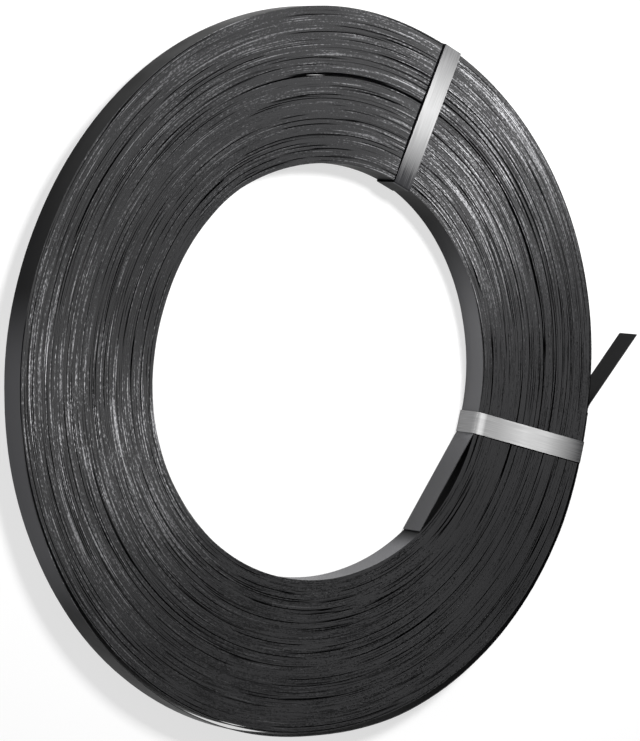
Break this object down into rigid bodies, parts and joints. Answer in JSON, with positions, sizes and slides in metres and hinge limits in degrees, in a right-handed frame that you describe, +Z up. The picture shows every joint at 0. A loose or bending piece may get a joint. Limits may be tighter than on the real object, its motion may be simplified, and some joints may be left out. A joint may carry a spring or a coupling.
{
  "type": "steel strapping coil",
  "caption": "Coil of flat steel strapping wound edge up in tight turns round an open bore, held by bright steel tie straps, with a kinked outer end and a sprung inner end.",
  "frame": {"origin": "on the coil's axis, at the floor that the tied coil lies on", "axes": "+Z up along the coil's axis, out of the end that the picture shows, and the shortest way through it; the outer free end's tip is at about 125 degrees from +X, counter-clockwise seen from above"},
  "size_m": [0.694, 0.6962, 0.0273],
  "materials": {
    "strapping": "black paint and wax, semi-gloss, with bare steel showing on worn edges",
    "tie": "bright bare steel strap"
  },
  "bodies": {
    "root": {"strap_coil": "strapping", "first_tie": "tie", "second_tie": "tie"}
  },
  "joints": []
}
